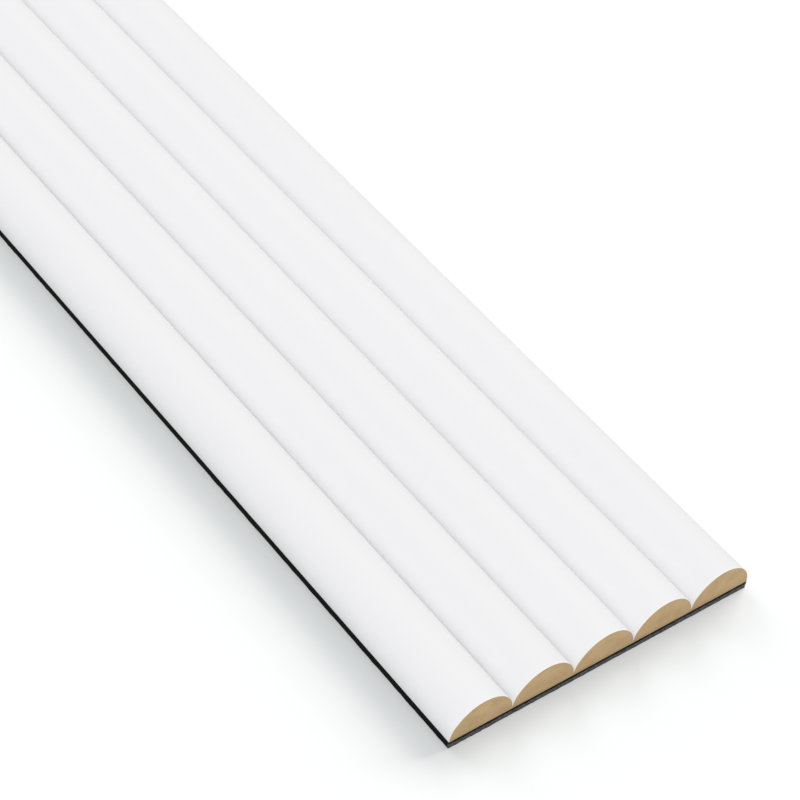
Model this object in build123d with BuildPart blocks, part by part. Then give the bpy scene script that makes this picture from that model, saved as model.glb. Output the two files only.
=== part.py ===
"""Fluted wall panel: half-round MDF slats with a white facing, glued side by side on a felt backing.

Millimetres. The panel lies face up. X runs across the slats, Y along them and Z up from the felt's back.
The origin is the middle of the felt's back face.
"""

from build123d import *

import os

# Driving dimensions
panel_length = 2400.0
slat_count = 5
slat_width = 19.96       # of one finished slat, facing included
slat_gap = 0.04          # between neighbouring slats, so that the felt can flex
slat_height = 9.9        # from the felt to the crest, facing included
facing_thickness = 0.1   # white film wrapped over the round face
felt_thickness = 2.5

# Worked out from the driving dimensions
slat_pitch = slat_width + slat_gap
panel_width = slat_count * slat_pitch
outer_half_width = slat_width / 2
core_half_width = outer_half_width - facing_thickness
core_height = slat_height - facing_thickness
slat_middles = [(number - (slat_count - 1) / 2) * slat_pitch for number in range(slat_count)]


def round_face(middle, half_width, height):
    """Draws the arc of a slat's round face, from its left foot on the felt to its right foot."""
    left_foot = (middle - half_width, felt_thickness)
    crest = (middle, felt_thickness + height)
    right_foot = (middle + half_width, felt_thickness)
    return ThreePointArc(left_foot, crest, right_foot)


# Felt backing: one flat sheet under all the slats
with BuildPart() as felt_backing:
    with BuildSketch(Plane.XY):
        Rectangle(panel_width, panel_length)
    extrude(amount=felt_thickness)
felt_backing.part.label = "felt_backing"
finished_pieces = [felt_backing.part]

for number, middle in enumerate(slat_middles, start=1):
    # MDF slat: a half-round bar, sawn square at both ends
    with BuildPart() as mdf_slat:
        with BuildSketch(Plane.XZ):
            with BuildLine():
                core_arc = round_face(middle, core_half_width, core_height)
                Line(core_arc @ 1, core_arc @ 0)
            make_face()
        extrude(amount=panel_length / 2, both=True)
    mdf_slat.part.label = f"mdf_slat_{number}"
    finished_pieces.append(mdf_slat.part)

    # White facing: the film over that slat's round face, down to the felt on both sides
    with BuildPart() as white_facing:
        with BuildSketch(Plane.XZ):
            with BuildLine():
                outer_arc = round_face(middle, outer_half_width, slat_height)
                inner_arc = round_face(middle, core_half_width, core_height)
                Line(outer_arc @ 0, inner_arc @ 0)
                Line(outer_arc @ 1, inner_arc @ 1)
            make_face()
        extrude(amount=panel_length / 2, both=True)
    white_facing.part.label = f"white_facing_{number}"
    finished_pieces.append(white_facing.part)

os.makedirs("parts", exist_ok=True)
for piece in finished_pieces:
    export_step(piece, f"parts/{piece.label}.step")
    print(piece.label, "volume", round(piece.volume), "mm3")
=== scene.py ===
import math
import random

import bmesh
import bpy
from mathutils import Matrix, Vector


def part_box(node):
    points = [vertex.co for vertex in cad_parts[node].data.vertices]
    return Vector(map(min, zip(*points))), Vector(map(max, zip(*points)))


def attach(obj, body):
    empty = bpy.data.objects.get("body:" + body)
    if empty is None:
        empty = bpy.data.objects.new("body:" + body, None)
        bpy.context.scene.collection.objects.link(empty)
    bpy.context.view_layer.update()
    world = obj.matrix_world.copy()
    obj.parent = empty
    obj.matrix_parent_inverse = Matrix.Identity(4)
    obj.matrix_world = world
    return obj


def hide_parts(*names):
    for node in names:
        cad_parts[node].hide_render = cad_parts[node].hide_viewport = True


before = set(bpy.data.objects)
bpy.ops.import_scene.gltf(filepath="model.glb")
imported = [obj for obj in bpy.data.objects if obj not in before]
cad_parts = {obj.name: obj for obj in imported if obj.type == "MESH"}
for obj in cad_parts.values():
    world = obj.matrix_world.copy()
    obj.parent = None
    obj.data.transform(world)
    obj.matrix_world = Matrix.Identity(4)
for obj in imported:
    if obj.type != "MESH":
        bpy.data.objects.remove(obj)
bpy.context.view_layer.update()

hair = 1e-6  # metres, near enough to count as touching


# Small helpers for working in object and edit mode

def letGo():
    if bpy.context.object and bpy.context.object.mode != "OBJECT":
        bpy.ops.object.mode_set(mode="OBJECT")
    bpy.ops.object.select_all(action="DESELECT")


def workOn(piece):
    letGo()
    piece.select_set(True)
    bpy.context.view_layer.objects.active = piece


def newPiece(name):  # names the primitive just added and puts its place into its mesh
    piece = bpy.context.object
    piece.name = name
    piece.data.name = name
    bpy.ops.object.transform_apply(location=True, rotation=True, scale=True)
    return piece


def openMesh(piece):
    workOn(piece)
    bpy.ops.object.mode_set(mode="EDIT")
    bpy.ops.mesh.select_all(action="SELECT")


def pick(piece, kind, test):  # selects the faces or edges that pass the test
    bpy.ops.mesh.select_mode(type=kind)
    bpy.ops.mesh.select_all(action="DESELECT")
    shape = bmesh.from_edit_mesh(piece.data)
    parts = shape.faces if kind == "FACE" else shape.edges
    for part in parts:
        part.select_set(test(part))
    bmesh.update_edit_mesh(piece.data)


def runsAlong(edge, axis):
    reach = edge.verts[1].co - edge.verts[0].co
    return abs(reach[axis]) > 0.999 * reach.length


def nearEnds(part, depth):  # whether a face or edge lies within that depth of the panel's two ends
    return all(abs(vertex.co.y) > halfLength - depth for vertex in part.verts)


def atEnds(part):
    return nearEnds(part, hair)


def applyModifier(piece, kind, settings):
    workOn(piece)
    modifier = piece.modifiers.new(kind.lower(), kind)
    for name, value in settings.items():
        setattr(modifier, name, value)
    bpy.ops.object.modifier_apply(modifier=modifier.name)


def smoothShade(piece, degrees):
    workOn(piece)
    bpy.ops.object.shade_smooth_by_angle(angle=math.radians(degrees))


def copyAlong(piece, name, step):  # a copy with its own mesh, moved across the panel
    workOn(piece)
    bpy.ops.object.duplicate(linked=False)
    twin = bpy.context.object
    twin.name = name
    twin.data.name = name
    bpy.ops.transform.translate(value=(step, 0, 0))
    bpy.ops.object.transform_apply(location=True, rotation=True, scale=True)
    return twin


# Shader sums: a wire is a node's socket, and + - * on wires and numbers add Math nodes

class Wire:
    def __init__(self, tree, socket=None):
        self.tree = tree
        self.socket = socket

    def node(self, kind, settings=None, sockets=None, output=0):
        made = self.tree.nodes.new(kind)
        for name, value in (settings or {}).items():
            if name == "stops":
                self.setStops(made.color_ramp, value)
            else:
                setattr(made, name, value)
        for name, value in (sockets or {}).items():
            if isinstance(value, Wire):
                self.tree.links.new(value.socket, made.inputs[name])
            else:
                made.inputs[name].default_value = value
        return Wire(self.tree, made.outputs[output] if made.outputs else None)

    def setStops(self, ramp, stops):
        while len(ramp.elements) < len(stops):
            ramp.elements.new(1.0)
        for element, (place, colour) in zip(ramp.elements, stops):
            element.position = place
            element.color = colour

    def sum(self, operation, first, second):
        return self.node("ShaderNodeMath", {"operation": operation}, {0: first, 1: second})

    def __add__(self, other):
        return self.sum("ADD", self, other)

    def __radd__(self, other):
        return self.sum("ADD", other, self)

    def __sub__(self, other):
        return self.sum("SUBTRACT", self, other)

    def __rsub__(self, other):
        return self.sum("SUBTRACT", other, self)

    def __mul__(self, other):
        return self.sum("MULTIPLY", self, other)

    def __rmul__(self, other):
        return self.sum("MULTIPLY", other, self)

    def __abs__(self):
        return self.sum("ABSOLUTE", self, 0.0)

    def rise(self, start, end):  # 0 below start, 1 above end, eased between
        limits = {"Value": self, "From Min": start, "From Max": end}
        return self.node("ShaderNodeMapRange", {"interpolation_type": "SMOOTHSTEP"}, limits)


def mixColours(wire, share, first, second):
    return wire.node("ShaderNodeMix", {"data_type": "RGBA"}, {0: share, 6: first, 7: second}, 2)


def newMaterial(name):
    material = bpy.data.materials.new(name)
    material.use_nodes = True
    material.node_tree.nodes.clear()
    return material, Wire(material.node_tree)


def noise(start, scale, detail, roughness=0.5):  # the scale counts features per metre on each axis
    place = start.node("ShaderNodeTexCoord", output="Object")
    stretched = start.node("ShaderNodeMapping", None, {"Vector": place, "Scale": scale})
    sockets = {"Vector": stretched, "Scale": 1.0, "Detail": detail, "Roughness": roughness}
    return start.node("ShaderNodeTexNoise", None, sockets)


def axisPlace(start, axis):
    place = start.node("ShaderNodeTexCoord", output="Object")
    return start.node("ShaderNodeSeparateXYZ", None, {0: place}, axis)


def bump(start, strength, distance, height):
    return start.node("ShaderNodeBump", None, {"Strength": strength, "Distance": distance, "Height": height})


def finishSurface(start, sockets):
    shader = start.node("ShaderNodeBsdfPrincipled", None, sockets)
    start.node("ShaderNodeOutputMaterial", None, {"Surface": shader})


# The panel's sizes in metres, from the solids, apart from the rise: their facets fall short of the crest

def span(node, axis):  # to the nearest micrometre
    low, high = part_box(node)
    return round(high[axis] - low[axis], 6)


panel = {
    "length": span("felt_backing", 1),
    "width": span("felt_backing", 0),
    "slatCount": sum(node.startswith("mdf_slat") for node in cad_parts),
    "slatWidth": span("white_facing_1", 0),     # film included
    "coreWidth": span("mdf_slat_1", 0),
    "slatRise": 0.0099,                         # from the felt to the crest, film included
    "feltThickness": span("felt_backing", 2),
}
halfLength = panel["length"] / 2
feltTop = panel["feltThickness"]
panelWidth = panel["width"]
slatPitch = panelWidth / panel["slatCount"]
firstMiddle = -(panel["slatCount"] - 1) / 2 * slatPitch
halfWidth = panel["slatWidth"] / 2
filmThickness = halfWidth - panel["coreWidth"] / 2
filmRadius = (halfWidth ** 2 + panel["slatRise"] ** 2) / (2 * panel["slatRise"])
coreRadius = filmRadius - filmThickness
arcMiddle = feltTop + panel["slatRise"] - filmRadius   # height of the arcs' shared centre


# White film: satin, with a faint peel and fine lengthwise lines

filmLook = {
    "white": (0.888, 0.885, 0.886, 1),
    "shade": (0.880, 0.877, 0.878, 1),
    "cutEdge": (0.90, 0.885, 0.83, 1),
    "cutFoot": (0.50, 0.355, 0.190, 1),     # the film's sawn edge near the felt, rubbed with fibre dust
    "cleanFrom": (0.003, 0.007),            # above the felt, where the dust thins out
    "cutDepth": (0.00012, 0.00004),         # from the ends, where the sawn colour fades in
    "peelGrain": ((700, 700, 700), 2),      # a noise's scale on each axis and its detail
    "lineGrain": ((2600, 30, 2600), 2),
    "cloudGrain": ((18, 6, 18), 3),
    "cloudFrom": (0.3, 0.7),
    "roughness": 0.50,
    "cloudRoughness": 0.12,
    "peelRoughness": 0.06,
    "specular": 0.3,
    "ior": 1.46,
    "peelHeight": 0.000012,
    "peelStrength": 0.35,
}


def filmMaterial():
    look = filmLook
    material, start = newMaterial("whiteFilm")
    peel = noise(start, *look["peelGrain"])
    lines = noise(start, *look["lineGrain"])
    cloud = noise(start, *look["cloudGrain"])
    fadeStart, fadeEnd = look["cutDepth"]
    cut = abs(axisPlace(start, "Y")).rise(halfLength - fadeStart, halfLength - fadeEnd)
    dustEnd, cleanStart = look["cleanFrom"]
    clean = axisPlace(start, "Z").rise(feltTop + dustEnd, feltTop + cleanStart)
    edge = mixColours(start, clean, look["cutFoot"], look["cutEdge"])
    tone = mixColours(start, cloud.rise(*look["cloudFrom"]), look["white"], look["shade"])
    uneven = (cloud - 0.5) * look["cloudRoughness"] + (peel - 0.5) * look["peelRoughness"]
    finishSurface(start, {
        "Base Color": mixColours(start, cut, tone, edge),
        "Roughness": look["roughness"] + uneven,
        "IOR": look["ior"],
        "Specular IOR Level": look["specular"],
        "Normal": bump(start, look["peelStrength"], look["peelHeight"], peel * 0.8 + lines * 0.2),
    })
    return material


# MDF: pressed fibre, denser and darker at the two skins, flecked on the sawn ends

mdfLook = {
    "light": (0.545, 0.388, 0.216, 1),
    "middle": (0.481, 0.337, 0.176, 1),
    "dark": (0.352, 0.228, 0.110, 1),
    "fleck": (0.200, 0.125, 0.060, 1),
    "jointDark": (0.020, 0.016, 0.013, 1),
    "jointDarkLine": (0.00002, 0.00006),     # above the felt, where the darkening along the core's foot thins out
    "jointDarkRagged": 0.00006,
    "fibreGrain": ((900, 900, 2600), 4, 0.65),      # a noise's scale on each axis, its detail and roughness
    "mottleGrain": ((170, 170, 260), 3),
    "speckGrain": ((2100, 2100, 4600), 2, 0.6),
    "sawGrain": ((90, 900, 2400), 2),
    "toneStops": (0.30, 0.50, 0.68),
    "toneLift": 0.07,
    "skinFrom": (0.62, 1.0),            # share of the way from mid height to the crest or the felt
    "skinShare": 0.22,
    "fleckFrom": (0.64, 0.74),
    "fleckShare": 0.45,
    "roughness": 0.80,
    "fibreRoughness": 0.15,
    "specular": 0.25,
    "sawHeight": 0.00006,
    "sawStrength": 0.5,
}


def mdfMaterial():
    look = mdfLook
    material, start = newMaterial("mdfFibre")
    fibres = noise(start, *look["fibreGrain"])
    mottle = noise(start, *look["mottleGrain"])
    specks = noise(start, *look["speckGrain"])
    saw = noise(start, *look["sawGrain"])
    height = (axisPlace(start, "Z") - feltTop) * (1 / panel["slatRise"])
    skin = abs(height * 2.0 - 1.0).rise(*look["skinFrom"])
    stops = list(zip(look["toneStops"], (look["dark"], look["middle"], look["light"])))
    grain = fibres * 0.45 + mottle * 0.45 + look["toneLift"]
    tone = start.node("ShaderNodeValToRGB", {"stops": stops}, {"Fac": grain})
    tone = mixColours(start, skin * look["skinShare"], tone, look["dark"])
    flecks = specks.rise(*look["fleckFrom"]) * look["fleckShare"]
    tone = mixColours(start, flecks, tone, look["fleck"])
    # near-black along the core's foot, where it meets the felt
    jointDarkFull, jointDarkEnd = look["jointDarkLine"]
    ragged = axisPlace(start, "Z") - fibres * look["jointDarkRagged"]
    jointDarkening = 1 - ragged.rise(feltTop + jointDarkFull, feltTop + jointDarkEnd)
    finishSurface(start, {
        "Base Color": mixColours(start, jointDarkening, tone, look["jointDark"]),
        "Roughness": look["roughness"] + fibres * look["fibreRoughness"],
        "Specular IOR Level": look["specular"],
        "Normal": bump(start, look["sawStrength"], look["sawHeight"], fibres * 0.7 + saw * 0.3),
    })
    return material


# Felt: black needled fibre, greyer where the ends are sawn through, staying black along the top of the sawn
# ends

feltLook = {
    "black": (0.003, 0.003, 0.003, 1),
    "soot": (0.009, 0.009, 0.009, 1),
    "sawnDark": (0.030, 0.030, 0.032, 1),
    "sawnGrey": (0.150, 0.145, 0.145, 1),
    "sawnDepth": (0.0006, 0.0002),      # from the ends, where the sawn colour fades in
    # depth below the felt's top over which the sawn ends stay black, a darker band just under the slats
    "skin": 0.0008,
    "skinFade": 0.0002,
    "skinRagged": 0.001,
    "lumpGrain": ((1100, 1100, 1600), 3, 0.6),      # a noise's scale on each axis, its detail and roughness
    "threadGrain": ((2600, 2600, 1300), 3, 0.65),
    "sootFrom": (0.50, 0.72),
    "tangleFrom": (0.38, 0.62),
    "roughness": 0.88,
    "lumpRoughness": 0.12,
    "specular": 0.12,
    "lumpHeight": 0.00015,
    "lumpStrength": 0.8,
}


def feltMaterial():
    look = feltLook
    material, start = newMaterial("needleFelt")
    lumps = noise(start, *look["lumpGrain"])
    threads = noise(start, *look["threadGrain"])
    fadeStart, fadeEnd = look["sawnDepth"]
    sawn = abs(axisPlace(start, "Y")).rise(halfLength - fadeStart, halfLength - fadeEnd)
    # the sawn ends are kept black along their top, right under the slats
    skinStart = feltTop - look["skin"]
    ragged = axisPlace(start, "Z") + (lumps - 0.5) * look["skinRagged"]
    skin = ragged.rise(skinStart - look["skinFade"], skinStart + look["skinFade"])
    plain = mixColours(start, threads.rise(*look["sootFrom"]), look["black"], look["soot"])
    tangle = (threads * 0.6 + lumps * 0.4).rise(*look["tangleFrom"])
    cutTone = mixColours(start, tangle, look["sawnDark"], look["sawnGrey"])
    finishSurface(start, {
        "Base Color": mixColours(start, sawn * (1 - skin), plain, cutTone),
        "Roughness": look["roughness"] + lumps * look["lumpRoughness"],
        "Specular IOR Level": look["specular"],
        "Normal": bump(start, look["lumpStrength"], look["lumpHeight"], lumps * 0.6 + threads * 0.4),
    })
    return material


filmSurface = filmMaterial()
mdfSurface = mdfMaterial()
feltSurface = feltMaterial()
print("materials made")


def dress(piece, surface, node):
    piece.data.materials.clear()
    piece.data.materials.append(surface)
    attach(piece, "root")
    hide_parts(node)


# Slats: a bar cut in half on the felt's top, with lightly broken ends, under a shell of film

slatShape = {
    "roundSides": 176,      # on the whole bar, of which the slat keeps half
    "lengthCuts": 23,
    "endRing": 0.0006,
    "brokenEnd": 0.00008,
    "filmEase": 0.00003,
    "easeSegments": 2,
    "easeAngle": 50,        # degrees, past which a film's edge is eased
    "smoothAngle": 30,
}


def halfBar(name, radius, filled):
    letGo()
    bpy.ops.mesh.primitive_cylinder_add(
        vertices=slatShape["roundSides"], radius=radius, depth=panel["length"],
        location=(firstMiddle, 0, arcMiddle), rotation=(math.radians(90), 0, 0),
    )
    bar = newPiece(name)
    openMesh(bar)
    bpy.ops.mesh.bisect(
        plane_co=(0, 0, feltTop), plane_no=(0, 0, 1), use_fill=filled, clear_inner=True, threshold=hair,
    )
    pick(bar, "EDGE", lambda edge: runsAlong(edge, 1))
    bpy.ops.mesh.subdivide(number_cuts=slatShape["lengthCuts"])
    for side in (-1, 1):  # a ring beside each end keeps the shading of the broken edge off the long faces
        bpy.ops.mesh.select_all(action="SELECT")
        ring = side * (halfLength - slatShape["endRing"])
        bpy.ops.mesh.bisect(plane_co=(0, ring, 0), plane_no=(0, 1, 0))
    return bar


def mdfSlat(name):
    slat = halfBar(name, coreRadius, True)
    pick(slat, "EDGE", atEnds)
    bpy.ops.mesh.bevel(
        offset=slatShape["brokenEnd"], segments=slatShape["easeSegments"], affect="EDGES",
    )
    bpy.ops.object.mode_set(mode="OBJECT")
    smoothShade(slat, slatShape["smoothAngle"])
    return slat


def filmShell(name):
    film = halfBar(name, filmRadius, False)
    pick(film, "FACE", atEnds)
    bpy.ops.mesh.delete(type="FACE")
    bpy.ops.object.mode_set(mode="OBJECT")
    applyModifier(film, "SOLIDIFY", {"thickness": filmThickness, "offset": -1.0})
    applyModifier(film, "BEVEL", {
        "width": slatShape["filmEase"],
        "segments": slatShape["easeSegments"],
        "limit_method": "ANGLE",
        "angle_limit": math.radians(slatShape["easeAngle"]),
    })
    smoothShade(film, slatShape["smoothAngle"])
    return film


firstSlat = mdfSlat("slat_core_1")
firstFilm = filmShell("slat_film_1")
slats = [firstSlat]
films = [firstFilm]
for number in range(2, panel["slatCount"] + 1):
    step = (number - 1) * slatPitch
    slats.append(copyAlong(firstSlat, f"slat_core_{number}", step))
    films.append(copyAlong(firstFilm, f"slat_film_{number}", step))
for number, (slat, film) in enumerate(zip(slats, films), start=1):
    dress(slat, mdfSurface, f"mdf_slat_{number}")
    dress(film, filmSurface, f"white_facing_{number}")
print("slats and film made", len(slats))


# Felt sheet: eased edges, slightly uneven where it is slit and sawn

feltShape = {
    "easedEdge": 0.00012,
    "easeSegments": 2,
    "lengthCuts": (39, 29),
    "widthCuts": 79,
    "heightCuts": 2,
    "unevenness": 0.00009,
    "smoothAngle": 40,
    "seed": 11,
}


def feltSheet(name):
    letGo()
    bpy.ops.mesh.primitive_cube_add(
        size=1, location=(0, 0, feltTop / 2), scale=(panelWidth, panel["length"], feltTop),
    )
    felt = newPiece(name)
    openMesh(felt)
    bpy.ops.mesh.select_mode(type="EDGE")
    bpy.ops.mesh.bevel(
        offset=feltShape["easedEdge"], segments=feltShape["easeSegments"], affect="EDGES",
    )
    for cuts in feltShape["lengthCuts"]:
        pick(felt, "EDGE", lambda edge: runsAlong(edge, 1))
        bpy.ops.mesh.subdivide(number_cuts=cuts)
    rim = feltShape["easedEdge"] * 1.5  # just past the eased edge
    pick(felt, "EDGE", lambda edge: runsAlong(edge, 0) and nearEnds(edge, rim))
    bpy.ops.mesh.subdivide(number_cuts=feltShape["widthCuts"])
    pick(felt, "EDGE", lambda edge: runsAlong(edge, 2))
    bpy.ops.mesh.subdivide(number_cuts=feltShape["heightCuts"])
    pick(felt, "FACE", lambda face: abs(face.normal.z) < 0.2)
    bpy.ops.transform.vertex_random(
        offset=feltShape["unevenness"], uniform=1.0, seed=feltShape["seed"],
    )
    bpy.ops.object.mode_set(mode="OBJECT")
    smoothShade(felt, feltShape["smoothAngle"])
    return felt


felt = feltSheet("felt_sheet")
dress(felt, feltSurface, "felt_backing")
print("felt made", len(felt.data.polygons), "faces")


# Loose fibres standing off the felt's cut edges, as one mesh of small bent spikes

fibreShape = {
    "perMetreSide": 1300,
    "perMetreEnd": 6000,
    "shortest": 0.00020,
    "longest": 0.00075,
    "thickness": 0.000034,
    "rings": ((-0.15, 1.0), (0.45, 0.9)),   # share of the length, share of the thickness
    "lowest": 0.0002,
    "highest": 0.0022,
    "overFloor": 0.00003,
    "outShare": 0.55,           # how much of the length points straight out of the felt
    "leanShare": 0.6,
    "leanSideways": 1.2,
    "leanUp": (-0.7, 0.2),
    "curlSideways": 0.8,
    "curlUp": (-0.6, 0.2),
    "seed": 5,
}


def fibreSpots(draw):
    sideCount = int(fibreShape["perMetreSide"] * panel["length"])
    endCount = int(fibreShape["perMetreEnd"] * panelWidth)
    low, high = fibreShape["lowest"], fibreShape["highest"]
    for side in (-1, 1):
        for _ in range(sideCount):
            along = draw.uniform(-halfLength, halfLength)
            yield Vector((side * panelWidth / 2, along, draw.uniform(low, high))), Vector((side, 0, 0))
        for _ in range(endCount):
            along = draw.uniform(-panelWidth / 2, panelWidth / 2)
            yield Vector((along, side * halfLength, draw.uniform(low, high))), Vector((0, side, 0))


def bendTo(draw, sideways, most, heights):
    return sideways * draw.uniform(-most, most) + Vector((0, 0, draw.uniform(*heights)))


def overFloor(point):
    return Vector((point.x, point.y, max(point.z, fibreShape["overFloor"])))


def feltFibres(name):
    draw = random.Random(fibreShape["seed"])
    points = []
    faces = []
    for root, out in fibreSpots(draw):
        sideways = out.cross(Vector((0, 0, 1)))
        length = draw.uniform(fibreShape["shortest"], fibreShape["longest"])
        lean = bendTo(draw, sideways, fibreShape["leanSideways"], fibreShape["leanUp"])
        curl = bendTo(draw, sideways, fibreShape["curlSideways"], fibreShape["curlUp"])
        away = out * fibreShape["outShare"] + lean * fibreShape["leanShare"]
        first = len(points)
        for share, width in fibreShape["rings"]:
            middle = root + away * length * share + curl * length * share * share
            for corner in range(3):
                turn = corner * 2 * math.pi / 3
                spread = sideways * math.cos(turn) + Vector((0, 0, math.sin(turn)))
                points.append(middle + spread * fibreShape["thickness"] * width / 2)
        points.append(root + away * length + curl * length)
        for corner in range(3):
            after = (corner + 1) % 3
            faces.append((first + corner, first + after, first + 3 + after, first + 3 + corner))
            faces.append((first + 3 + corner, first + 3 + after, first + 6))
        faces.append((first + 2, first + 1, first))
    shape = bpy.data.meshes.new(name)
    shape.from_pydata([overFloor(point) for point in points], [], faces)
    fibres = bpy.data.objects.new(name, shape)
    bpy.context.scene.collection.objects.link(fibres)
    openMesh(fibres)
    bpy.ops.mesh.normals_make_consistent(inside=False)
    bpy.ops.object.mode_set(mode="OBJECT")
    return fibres


fibres = feltFibres("felt_fibres")
fibres.data.materials.append(feltSurface)
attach(fibres, "root")
print("fibres made", len(fibres.data.polygons), "faces")


# Floor and sky: the backdrop's white is seen by the camera and in gloss, and the panel gets plain soft light

stage = {
    "floorSize": 60.0,
    "floorPale": (0.364, 0.404, 0.402, 1),
    "floorBounce": (0.449, 0.49, 0.49, 1),     # what the panel gets back from the floor
    "floorGlow": 0.367,                         # brings the floor to white where no shade falls
    "white": (1, 1, 1, 1),
    "skyLight": 0.525,
    "skySeen": 1.0,
}


def backdropRays(start):  # rays from the camera, from gloss and through glass see the white backdrop
    kinds = ("Is Camera Ray", "Is Glossy Ray", "Is Transmission Ray")
    camera, gloss, glass = (start.node("ShaderNodeLightPath", output=kind) for kind in kinds)
    return camera + gloss + glass


def floorMaterial():
    material, start = newMaterial("paleFloor")
    pale = start.node("ShaderNodeBsdfDiffuse", None, {"Color": stage["floorPale"]})
    bounce = start.node("ShaderNodeBsdfDiffuse", None, {"Color": stage["floorBounce"]})
    glow = start.node("ShaderNodeEmission", None, {"Strength": stage["floorGlow"]})
    seen = start.node("ShaderNodeAddShader", None, {0: pale, 1: glow})
    shader = start.node("ShaderNodeMixShader", None, {0: backdropRays(start), 1: bounce, 2: seen})
    start.node("ShaderNodeOutputMaterial", None, {"Surface": shader})
    return material


def studioSky():
    world = bpy.data.worlds.new("studio")
    world.use_nodes = True
    world.node_tree.nodes.clear()
    sky = Wire(world.node_tree)
    soft = sky.node("ShaderNodeBackground", None, {"Color": stage["white"], "Strength": stage["skyLight"]})
    seen = sky.node("ShaderNodeBackground", None, {"Color": stage["white"], "Strength": stage["skySeen"]})
    backdrop = sky.node("ShaderNodeMixShader", None, {0: backdropRays(sky), 1: soft, 2: seen})
    sky.node("ShaderNodeOutputWorld", None, {"Surface": backdrop})
    return world


letGo()
bpy.ops.mesh.primitive_plane_add(size=stage["floorSize"], location=(0, 0, 0))
floor = newPiece("studio_floor")
floor.data.materials.append(floorMaterial())
bpy.context.scene.world = studioSky()


# Lamps: towards is the way to the lamp, level is what a white face square to it gets, softness is in degrees

panelWhite = (1, 1, 1)
panelCool = (0.98, 0.985, 1.015)
floorWarm = (1.12, 1, 1)
lamps = {
    "left_front": {
        "towards": (-0.40, -0.50, 0.77), "level": 0.507, "softness": 14,
        "lights": "panel", "colour": panelCool,
    },
    "right_side": {
        "towards": (0.85, -0.22, 0.45), "level": 0.235, "softness": 36,
        "lights": "panel", "colour": panelWhite,
    },
    "floor_right": {
        "towards": (0.877, 0.0, 0.480), "level": 0.938, "softness": 30,
        "lights": "floor", "colour": floorWarm,
    },
    "floor_corner": {
        "towards": (0.722, 0.417, 0.552), "level": 0.722, "softness": 30,
        "lights": "floor", "colour": floorWarm,
    },
    "floor_back": {
        "towards": (0.0, 0.834, 0.552), "level": 0.447, "softness": 40,
        "lights": "floor", "colour": floorWarm,
    },
}


def lightingGroup(name, state):
    group = bpy.data.collections.new(name)
    group.objects.link(floor)
    group.collection_objects[0].light_linking.link_state = state
    return group


groups = {"panel": lightingGroup("allButFloor", "EXCLUDE"), "floor": lightingGroup("floorOnly", "INCLUDE")}
for name, values in lamps.items():
    data = bpy.data.lights.new(name, "SUN")
    data.energy = values["level"] * math.pi
    data.color = values["colour"]
    data.angle = math.radians(values["softness"])
    lamp = bpy.data.objects.new(name, data)
    lamp.rotation_euler = Vector(values["towards"]).to_track_quat("Z", "Y").to_euler()
    lamp.light_linking.receiver_collection = groups[values["lights"]]
    bpy.context.scene.collection.objects.link(lamp)
print("stage and lamps set")


# Camera, solved from the panel's edges

cameraView = {
    "place": (-0.319734, -1.466388, 0.497000),
    "azimuth": -41.7994,
    "elevation": 44.9644,
    "roll": -7.7828,
    "lens": 112.114,
    "sensor": 36,
    "nearest": 0.01,
}
azimuth, elevation, roll = (math.radians(cameraView[key]) for key in ("azimuth", "elevation", "roll"))
back = Vector((
    math.sin(azimuth) * math.cos(elevation), -math.cos(azimuth) * math.cos(elevation), math.sin(elevation),
))
flat = (-back).cross(Vector((0, 0, 1))).normalized()
down = (-back).cross(flat)
right = flat * math.cos(roll) + down * math.sin(roll)
up = back.cross(right)
cameraData = bpy.data.cameras.new("camera")
cameraData.lens = cameraView["lens"]
cameraData.sensor_width = cameraView["sensor"]
cameraData.clip_start = cameraView["nearest"]
camera = bpy.data.objects.new("camera", cameraData)
turned = Matrix((right, up, back)).transposed().to_4x4()
camera.matrix_world = Matrix.Translation(cameraView["place"]) @ turned
bpy.context.scene.collection.objects.link(camera)
bpy.context.scene.camera = camera
bpy.context.scene.view_settings.view_transform = "Standard"
print("camera set")
